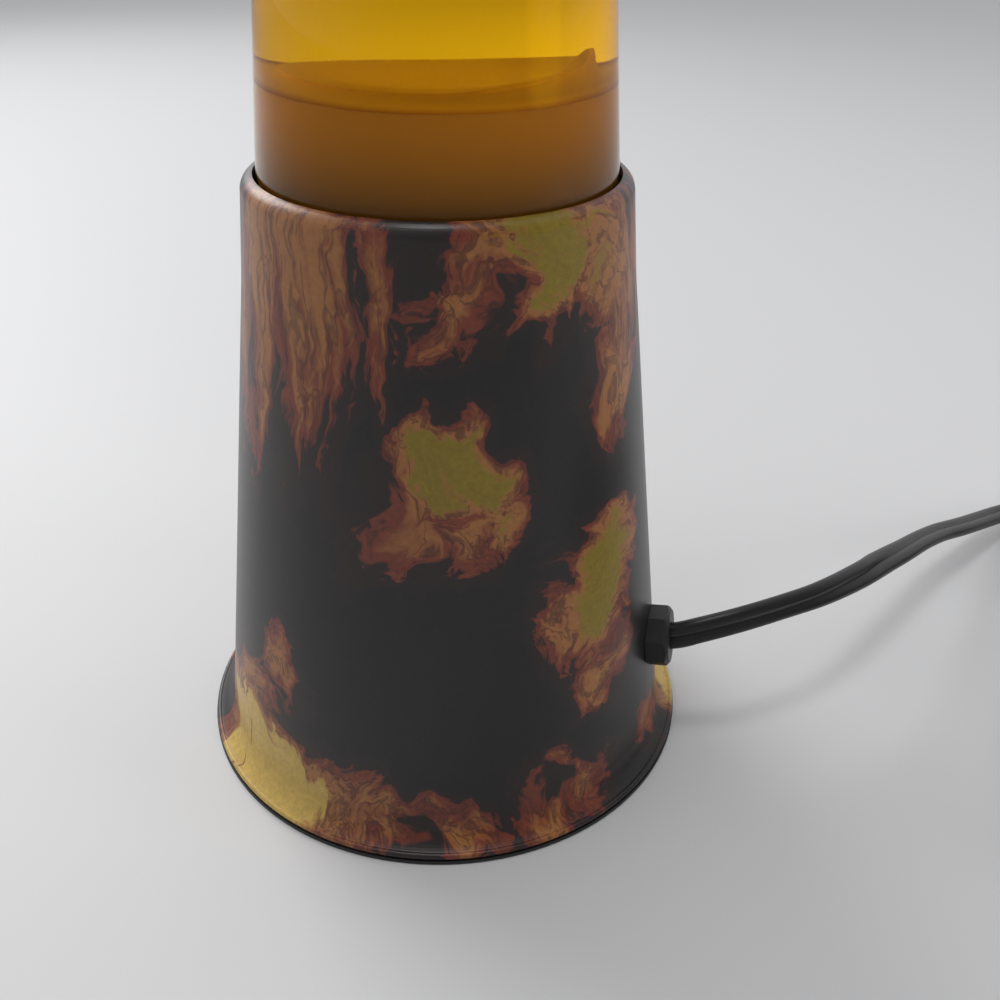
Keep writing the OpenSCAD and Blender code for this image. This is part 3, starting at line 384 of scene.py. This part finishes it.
class Sock:
    """A shader value: arithmetic on it adds maths nodes to its tree."""

    def __init__(self, tree, socket):
        self.tree = tree
        self.socket = socket

    def put(self, target, value):
        if isinstance(value, Sock):
            self.tree.links.new(value.socket, target)
        else:
            target.default_value = value

    def node(self, kind, out=0, settings=None, **inputs):
        made = self.tree.nodes.new(kind)
        for key, value in (settings or {}).items():
            setattr(made, key, value)
        for key, value in inputs.items():
            index = int(key[1:]) if key[0] == "i" and key[1:].isdigit() else key.replace("_", " ")
            self.put(made.inputs[index], value)
        return Sock(self.tree, made.outputs[out])

    def math(self, op, other=0.0):
        return self.node("ShaderNodeMath", settings={"operation": op}, i0=self, i1=other)

    def __add__(self, other):
        return self.math("ADD", other)

    def __sub__(self, other):
        return self.math("SUBTRACT", other)

    def __mul__(self, other):
        return self.math("MULTIPLY", other)

    __radd__ = __add__
    __rmul__ = __mul__

    def __rsub__(self, other):
        return self.node("ShaderNodeMath", settings={"operation": "SUBTRACT"}, i0=other, i1=self)

    def band(self, low, high, to_low=0.0, to_high=1.0):
        """Eased step from low to high."""
        return self.node(
            "ShaderNodeMapRange", settings={"interpolation_type": "SMOOTHSTEP"},
            i0=self, i1=low, i2=high, i3=to_low, i4=to_high,
        )

    def vector(self, op, other):
        return self.node("ShaderNodeVectorMath", settings={"operation": op}, i0=self, i1=other)

    def scaled(self, by):
        return self.node("ShaderNodeVectorMath", settings={"operation": "SCALE"}, i0=self, Scale=by)

    def dot(self, other):
        settings = {"operation": "DOT_PRODUCT"}
        return self.node("ShaderNodeVectorMath", out=1, settings=settings, i0=self, i1=other)

    def height(self):
        return self.node("ShaderNodeSeparateXYZ", out=2, i0=self)

    def noise(self, scale, detail=2.0, rough=0.5, distortion=0.0, color=False):
        return self.node(
            "ShaderNodeTexNoise", out=1 if color else 0, Vector=self, Scale=scale, Detail=detail,
            Roughness=rough, Distortion=distortion,
        )

    def mix(self, low, high):
        """Colour low where the value is 0, high where it is 1."""
        made = self.tree.nodes.new("ShaderNodeMix")
        made.data_type = "RGBA"
        self.put(made.inputs[0], self)
        for slot, value in ((6, low), (7, high)):
            self.put(made.inputs[slot], value if isinstance(value, Sock) else (*value[:3], 1.0))
        return Sock(self.tree, made.outputs[2])


def new_material(name, **values):
    """A principled material with constant values, and its tree, shader and object coordinates."""
    mat = bpy.data.materials.new(name)
    mat.use_nodes = True
    tree = mat.node_tree
    shader = next(n for n in tree.nodes if n.type == "BSDF_PRINCIPLED")
    for key, value in values.items():
        socket = shader.inputs[key.replace("_", " ")]
        socket.default_value = (*value, 1.0) if socket.type == "RGBA" else value
    coords = tree.nodes.new("ShaderNodeTexCoord")
    return mat, shader, Sock(tree, coords.outputs["Object"])


def plain(name, color, roughness, metallic=0.0, **values):
    return new_material(name, Base_Color=color, Roughness=roughness, Metallic=metallic, **values)[0]


def paint(material, *nodes):
    """Gives CAD nodes a material."""
    for node in nodes:
        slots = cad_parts[node].data.materials
        slots.clear()
        slots.append(material)


def on_print(azimuth, height):
    """Point of the printed wall, or of the cap, in metres."""
    r = WALL_FOOT_R - WALL_SLOPE * height
    if height > CAP_FOOT[1] - 10:
        r = CAP_FOOT[0] - CAP_SLOPE * (height - CAP_FOOT[1])
    a = math.radians(azimuth)
    return Vector((r * math.cos(a), r * math.sin(a), height)) * MM


def hottest(place, patches, squash=1.0):
    """Heat of the strongest patch: its full heat in the middle, none at its reach, less beyond."""
    heat = None
    for azimuth, height, reach, full in patches:
        centre = on_print(azimuth, height)
        centre.z *= squash
        off = place.vector("SUBTRACT", centre)
        square = off.dot(off)
        spot = square.node(
            "ShaderNodeMath", settings={"operation": "MULTIPLY_ADD"},
            i0=square, i1=-full / (reach * MM) ** 2, i2=full,
        )
        heat = spot if heat is None else heat.math("MAXIMUM", spot)
    return heat


def flame_print(look):
    """Dark lacquer with ragged, marbled glowing patches, streaked under the lip."""
    mat, shader, place = new_material(
        "flame_print", Roughness=look.roughness, Specular_IOR_Level=look.specular,
        Coat_Weight=look.coat, Coat_Roughness=0.3,
    )

    def swirl(at, scale, detail, reach):
        shift = at.noise(scale, detail, 0.55, color=True).vector("SUBTRACT", (0.5, 0.5, 0.5))
        return at.vector("ADD", shift.scaled(reach))

    ragged = swirl(swirl(place, 40.0, 2.0, 0.022), 120.0, 3.0, 0.013)
    marble = swirl(ragged, 70.0, 2.0, 0.02).noise(look.wisp_scale, 4.0, 0.6, distortion=1.2)
    heat = hottest(ragged, FRONT_PATCHES + BACK_PATCHES + CAP_PATCHES) + (marble - 0.5) * 1.1
    drawn = swirl(place, 60.0, 3.0, 0.009)
    grainy = drawn.vector("MULTIPLY", (1.0, 1.0, 0.14)).noise(150.0, 5.0, 0.62, distortion=0.6)
    streak = hottest(drawn.vector("MULTIPLY", (1.0, 1.0, STREAK_SQUASH)), STREAKS, STREAK_SQUASH)
    streak = (streak + (grainy - 0.5) * 2.4).math("MINIMUM", 0.45)
    upright = (streak - heat).band(-0.05, 0.1)
    heat = heat.math("MAXIMUM", streak)
    color = heat.band(-0.5, 0.1).mix(look.char, look.umber)
    color = heat.band(0.05, 0.16).mix(color, look.ember)
    color = heat.band(0.18, 0.45).mix(color, look.flame)
    # Painted light: below 20 to 35 mm the print's yellow turns to the brighter foot colour, where the flare
    # faces up into the light
    low = place.height().band(0.02, 0.035, 1.0, 0.0)
    color = heat.band(0.5, 0.66).mix(color, low.mix(look.glow, look.foot_yellow_and_light))
    thread = swirl(ragged, 160.0, 2.0, 0.008).noise(120.0, 3.0, 0.5, distortion=1.5)
    thread = (thread - 0.5).math("ABSOLUTE")
    lines = thread.band(0.0, 0.07, 0.65, 0.0) * (1.0 - upright)
    crack = (drawn.vector("MULTIPLY", (1.0, 1.0, 0.1)).noise(320.0, 3.0, 0.6) - 0.5).math("ABSOLUTE")
    lines = lines.math("MAXIMUM", crack.band(0.0, 0.06, 0.55, 0.0) * upright)
    lines = lines * heat.band(0.1, 0.2) * heat.band(0.48, 0.6, 1.0, 0.15)
    color = lines.mix(color, look.scorch)
    grain = place.noise(1100.0, 2.0, 0.6).band(0.2, 0.8, 0.88, 1.1)
    color = color.scaled(grain)
    color.put(shader.inputs["Base Color"], color)
    return mat


class LAMP_OT_camera(bpy.types.Operator):
    """Places the photograph's camera."""

    bl_idname = "lamp.camera"
    bl_label = "Camera"

    def execute(self, context):
        data = bpy.data.cameras.new("camera")
        data.lens, data.sensor_width = LENS, SENSOR
        data.clip_start, data.clip_end = 0.005, 50.0
        cam = bpy.data.objects.new("camera", data)
        look, up = Vector(LOOK).normalized(), Vector(UP).normalized()
        right = look.cross(up).normalized()
        turn = Matrix((right, right.cross(look), -look)).transposed()
        cam.matrix_world = Matrix.Translation(Vector(EYE)) @ turn.to_4x4()
        context.scene.collection.objects.link(cam)
        context.scene.camera = cam
        context.scene.render.resolution_x = PICTURE
        context.scene.render.resolution_y = PICTURE
        context.scene.view_settings.view_transform = "Standard"
        return {"FINISHED"}


class LAMP_OT_cords(bpy.types.Operator):
    """Makes the flat twin cord: base to switch, then switch to coil and plug."""

    bl_idname = "lamp.cords"
    bl_label = "Cords"

    def coil_point(self, u):
        a = math.radians(COIL_START - 360 * u)
        r = COIL_R - COIL_STEP * min(u, 2 * COIL_TURNS - u)
        z = COIL_LOW + (COIL_HIGH - COIL_LOW) * ease((u - COIL_TURNS) / COIL_CLIMB + 0.5)
        return Vector((COIL_AT[0] + r * math.cos(a), COIL_AT[1] + r * math.sin(a), z))

    def long_route(self):
        """Switch to plug: route points and the roll at each, in millimetres and degrees."""
        start = math.radians(COIL_START)
        toward = Vector((math.sin(start), -math.cos(start), 0))
        route = [Vector(p) for p in TAIL] + [self.coil_point(0) - COIL_ENTRY * toward]
        rolls = [90 * (1 - ease((i - 1) / (len(route) - 3))) for i in range(len(route))]
        count = round(2 * COIL_TURNS * COIL_RINGS)
        route += [self.coil_point(i / COIL_RINGS) for i in range(count + 1)]
        rolls += [0.0] * (count + 1)
        end = self.coil_point(count / COIL_RINGS)
        a = math.radians(COIL_START - 720 * COIL_TURNS - 90)
        for k, s in enumerate(RUN_STEPS):
            z = COIL_HIGH + (PLUG_Z - COIL_HIGH) * ease((s - 2) / 24)
            route.append(Vector((end.x + s * math.cos(a), end.y + s * math.sin(a), z)))
            rolls.append(90 * ease((k + 1) / 4.5))
        return route, rolls

    def execute(self, context):
        sizes = context.scene.lamp_cord
        vinyl = plain("cord_vinyl", sizes.color, 0.38, Specular_IOR_Level=0.45)
        section = twin_section(sizes.width, sizes.thickness, sizes.groove)
        path, places = spline([Vector(p) * MM for p in LEAD], 5)
        rolls = [90 * ease((u - LEAD_UPRIGHT) / (LEAD_FLAT - LEAD_UPRIGHT)) for u in places]
        lead = sweep("lead_cord", path, rolls, section, vinyl)
        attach(lead, "base")
        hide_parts("cord_lead")
        length_of(path)
        route, turns = self.long_route()
        path, places = spline([p * MM for p in route], 3)
        rolls = []
        for u in places:
            i = min(int(u), len(turns) - 2)
            rolls.append(turns[i] + (turns[i + 1] - turns[i]) * (u - i))
        tail = sweep("coiled_cord", path, rolls, section, vinyl)
        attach(tail, "base")
        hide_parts("cord_tail", "cord_coil")
        length_of(path)
        paint(vinyl, "lead_wires")
        return {"FINISHED"}


class LAMP_OT_print(bpy.types.Operator):
    """Prints the base and the cap."""

    bl_idname = "lamp.print"
    bl_label = "Flame print"

    def execute(self, context):
        paint(flame_print(context.scene.lamp_print), "base_shell", "top_cap")
        return {"FINISHED"}


class LAMP_OT_fittings(bpy.types.Operator):
    """Finishes the mouldings, fasteners, socket and bulb."""

    bl_idname = "lamp.fittings"
    bl_label = "Fittings"

    def execute(self, context):
        black = (0.011, 0.011, 0.012)
        paint(plain("cover_plastic", black, 0.55), "base_cover")
        paint(plain("bushing_plastic", (0.008, 0.008, 0.009), 0.45), "strain_relief")
        paint(plain("switch_plastic", black, 0.32), "switch_lower", "switch_upper")
        paint(plain("rocker_plastic", (0.018, 0.018, 0.019), 0.24), "switch_rocker")
        paint(plain("plug_vinyl", black, 0.45), "plug_body")
        paint(plain("tie_plastic", (0.02, 0.02, 0.02), 0.6), "cord_tie")
        paint(plain("grey_metal", (0.06, 0.06, 0.065), 0.4, 0.4), "globe_seat")
        paint(plain("silicone", (0.6, 0.58, 0.54), 0.5), "seat_gasket")
        paint(
            plain("zinc_steel", (0.62, 0.63, 0.65), 0.32, 1.0), "shell_lugs", "cover_screws",
            "socket_bracket", "bracket_screws", "socket_screw", "switch_screws", "heater_coil",
        )
        paint(plain("phenolic", (0.045, 0.028, 0.02), 0.42), "socket_body")
        paint(
            plain("brass", (0.78, 0.58, 0.28), 0.28, 1.0), "socket_shell", "socket_contact",
            "terminal_screws", "bulb_cap", "plug_blades",
        )
        paint(plain("solder", (0.55, 0.55, 0.56), 0.4, 1.0), "bulb_tip", "bulb_filament")
        paint(plain("black_glass", (0.015, 0.015, 0.016), 0.15), "bulb_insulator")
        paint(
            plain("bulb_glass", (0.97, 0.97, 0.95), 0.35, Transmission_Weight=0.85, IOR=1.3),
            "bulb_glass", "bulb_stem",
        )
        paint(plain("liner_plastic", (0.82, 0.8, 0.75), 0.5), "crown_liner")
        paint(plain("tin_plate", (0.72, 0.55, 0.25), 0.3, 1.0), "crown_cap")
        return {"FINISHED"}


def arc(centre, r, start, end, n):
    """Points of an arc in the (radius, height) plane, angles in degrees."""
    out = []
    for k in range(n + 1):
        a = math.radians(start + (end - start) * k / n)
        out.append((centre[0] + r * math.cos(a), centre[1] + r * math.sin(a)))
    return out


class LAMP_OT_globe(bpy.types.Operator):
    """Makes the glass globe, the liquid and the settled wax."""

    bl_idname = "lamp.globe"
    bl_label = "Globe"

    def bore(self, z):
        """Inside radius of the globe's cone at a height."""
        return GLOBE_R - GLOBE_TAPER * (z - TAPER_Z) - GLASS_WALL

    def lift_skin(self, wax):
        """Tilts the skin round the wax's plateau and curls it up on one side."""
        for vert in wax.data.vertices:
            r, z = math.hypot(vert.co.x, vert.co.y) / MM, vert.co.z / MM
            if SKIN_R[0] < r < SKIN_R[1] and z > SKIN_Z:
                off = math.degrees(math.atan2(vert.co.y, vert.co.x)) - SKIN_AT
                off = abs((off + 180) % 360 - 180)
                share = ease((r - SKIN_R[0]) / SKIN_RISE)
                if r > SKIN_LIP_R:
                    share = (SKIN_R[1] - r) / (SKIN_R[1] - SKIN_R[0])
                lift = SKIN_TILT * ease(1 - off / SKIN_TILT_TURN)
                lift += SKIN_CURL * ease(1 - off / SKIN_CURL_TURN)
                vert.co.z += lift * share * MM

    def execute(self, context):
        look = context.scene.lamp_globe
        clear = {"Transmission_Weight": 1.0, "IOR": 1.36}
        glass = plain("globe_glass", (1.0, 1.0, 1.0), 0.0, Specular_Tint=look.mirror, **clear)
        amber = plain("amber_liquid", look.tint, 0.0, Specular_Tint=(0.0, 0.0, 0.0), **clear)
        wax_mat, shader, place = new_material("orange_wax", Roughness=0.6, Specular_IOR_Level=0.1)
        height = place.height()
        # Painted light on the wax: a shaded colour up the sides, darkest low inside the base, and the bright
        # top colour starting just below the ledge so the shaded ledge is painted as bright as the plateau
        color = height.band(0.105, 0.119).mix(look.wax_foot_shaded, look.wax_side_shaded)
        color = height.band(0.11925, 0.11945).mix(color, look.wax)
        color.put(shader.inputs["Base Color"], color)
        heel = arc(HEEL_AT, HEEL_R, -90, HEEL_END, 24)
        outside = [(0, 99.8), (9, 99.5), (17.679, GLOBE_Z), *heel, SHOULDER]
        for k in range(1, NECK_STEPS + 1):
            share = k / NECK_STEPS
            r = SHOULDER[0] + (NECK_R - SHOULDER[0]) * ease(share)
            outside.append((r, SHOULDER[1] + NECK_RISE * share))
        outside += [(NECK_R, 275.0), (13.3, 276.0), (13.3, 281.0), (12.5, 282.5), (11.3, MOUTH_Z)]
        floor = arc(HEEL_AT, HEEL_BORE_R, FLOOR_START, HEEL_END, 20)
        inside = [(8, MOUTH_Z), (8, 273.5), (12.51, SHOULDER[1]), *reversed(floor), (0, FLOOR_Z)]
        globe = revolve("globe_glass", outside + inside, look.steps, glass)
        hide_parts("globe_bottle")
        floor = arc(HEEL_AT, HEEL_BORE_R + WALL_LAP, FLOOR_START, HEEL_END, 20)
        top = [(self.bore(WAX_RIM_Z) + WALL_LAP, WAX_RIM_Z), (21.5, 119.4), (18.2, 119.7), (17.1, 120.3)]
        top += [(17.2, 120.75), (16.4, 121.05), (13, 120.95), (8.6, 120.75), (4, 120.95), (0, 121.1)]
        wax = revolve("settled_wax", [(0, FLOOR_Z), *floor, *top], look.steps, wax_mat, 50)
        self.lift_skin(wax)
        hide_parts("wax")
        column = [(0, 112), (24.6, 113)]
        column += [(self.bore(z) + WALL_LAP, z) for z in (LIQUID_FOOT_Z, LIQUID_TOP_Z)]
        column.append((0, LIQUID_TOP_Z))
        liquid = revolve("amber_liquid", column, look.steps, amber)
        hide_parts("liquid")
        for piece in (globe, wax, liquid):
            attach(piece, "globe")
        return {"FINISHED"}


class LAMP_OT_stage(bpy.types.Operator):
    """Lays the table and sets the lights."""

    bl_idname = "lamp.stage"
    bl_label = "Stage"

    def light(self, name, at, aim, size, power, spread=180):
        data = bpy.data.lights.new(name, "AREA")
        data.shape, data.size, data.energy = "DISK", size, power
        data.spread = math.radians(spread)
        obj = bpy.data.objects.new(name, data)
        obj.location = at
        obj.rotation_euler = (Vector(aim) - Vector(at)).to_track_quat("-Z", "Y").to_euler()
        bpy.context.scene.collection.objects.link(obj)
        return obj

    def execute(self, context):
        look = context.scene.lamp_stage
        table = plain("table", look.floor, 0.5)
        corners = ((-1, -1), (1, -1), (1, 1), (-1, 1))
        verts = [(TABLE_HALF * x, TABLE_HALF * y, 0) for x, y in corners]
        floor = new_object("floor", verts, [(0, 1, 2, 3)], table)
        world = bpy.data.worlds.new("sky")
        world.use_nodes = True
        tree = world.node_tree
        sky = next(n for n in tree.nodes if n.type == "BACKGROUND")
        toward = Sock(tree, tree.nodes.new("ShaderNodeTexCoord").outputs["Generated"])
        front = toward.dot(SHADE_SIDE)
        color = front.band(-1.0, -0.3).mix(look.bright, look.sky)
        color = front.band(-0.1, 0.85).mix(color, look.dusk)
        color.put(sky.inputs["Color"], color)
        sky.inputs["Strength"].default_value = look.sky_power
        path = tree.nodes.new("ShaderNodeLightPath").outputs
        seen = Sock(tree, path["Is Camera Ray"])
        for ray in ("Is Glossy Ray", "Is Transmission Ray"):
            seen = seen.math("MAXIMUM", Sock(tree, path[ray]))
        pale = tree.nodes.new("ShaderNodeBackground")
        color = front.band(-0.1, 0.85).mix(look.backdrop, look.corner)
        color.put(pale.inputs["Color"], color)
        both = tree.nodes.new("ShaderNodeMixShader")
        out = next(n for n in tree.nodes if n.type == "OUTPUT_WORLD")
        seen.put(both.inputs[0], seen)
        tree.links.new(sky.outputs[0], both.inputs[1])
        tree.links.new(pale.outputs[0], both.inputs[2])
        tree.links.new(both.outputs[0], out.inputs["Surface"])
        context.scene.world = world
        self.light("key", KEY_AT, LIGHT_AIM, KEY_SIZE, look.key_power)
        self.light("window", WINDOW_AT, LIGHT_AIM, WINDOW_SIZE, look.window_power, HELD_SPREAD)
        fill = self.light("fill", FILL_AT, FILL_AIM, FILL_SIZE, look.fill_power, HELD_SPREAD)
        fill.visible_glossy = False
        return {"FINISHED"}


class LAMP_PT_panel(bpy.types.Panel):
    """Lists the lamp's steps."""

    bl_idname = "LAMP_PT_panel"
    bl_label = "Lamp"
    bl_space_type = "VIEW_3D"
    bl_region_type = "UI"
    bl_category = "Lamp"

    def draw(self, context):
        for step in STEPS:
            self.layout.operator(step.bl_idname)


STEPS = (LAMP_OT_camera, LAMP_OT_cords, LAMP_OT_print, LAMP_OT_fittings, LAMP_OT_globe, LAMP_OT_stage)
GROUPS = {"lamp_cord": CordSizes, "lamp_print": PrintLook, "lamp_globe": GlobeLook, "lamp_stage": StageLook}


def register():
    for cls in (*GROUPS.values(), *STEPS, LAMP_PT_panel):
        bpy.utils.register_class(cls)
    for name, group in GROUPS.items():
        setattr(bpy.types.Scene, name, PointerProperty(type=group))


def unregister():
    for name in GROUPS:
        delattr(bpy.types.Scene, name)
    for cls in reversed((*GROUPS.values(), *STEPS, LAMP_PT_panel)):
        bpy.utils.unregister_class(cls)


def main():
    register()
    bpy.ops.lamp.camera()
    bpy.ops.lamp.cords()
    bpy.ops.lamp.print()
    bpy.ops.lamp.fittings()
    bpy.ops.lamp.globe()
    bpy.ops.lamp.stage()


if __name__ == "__main__":
    main()
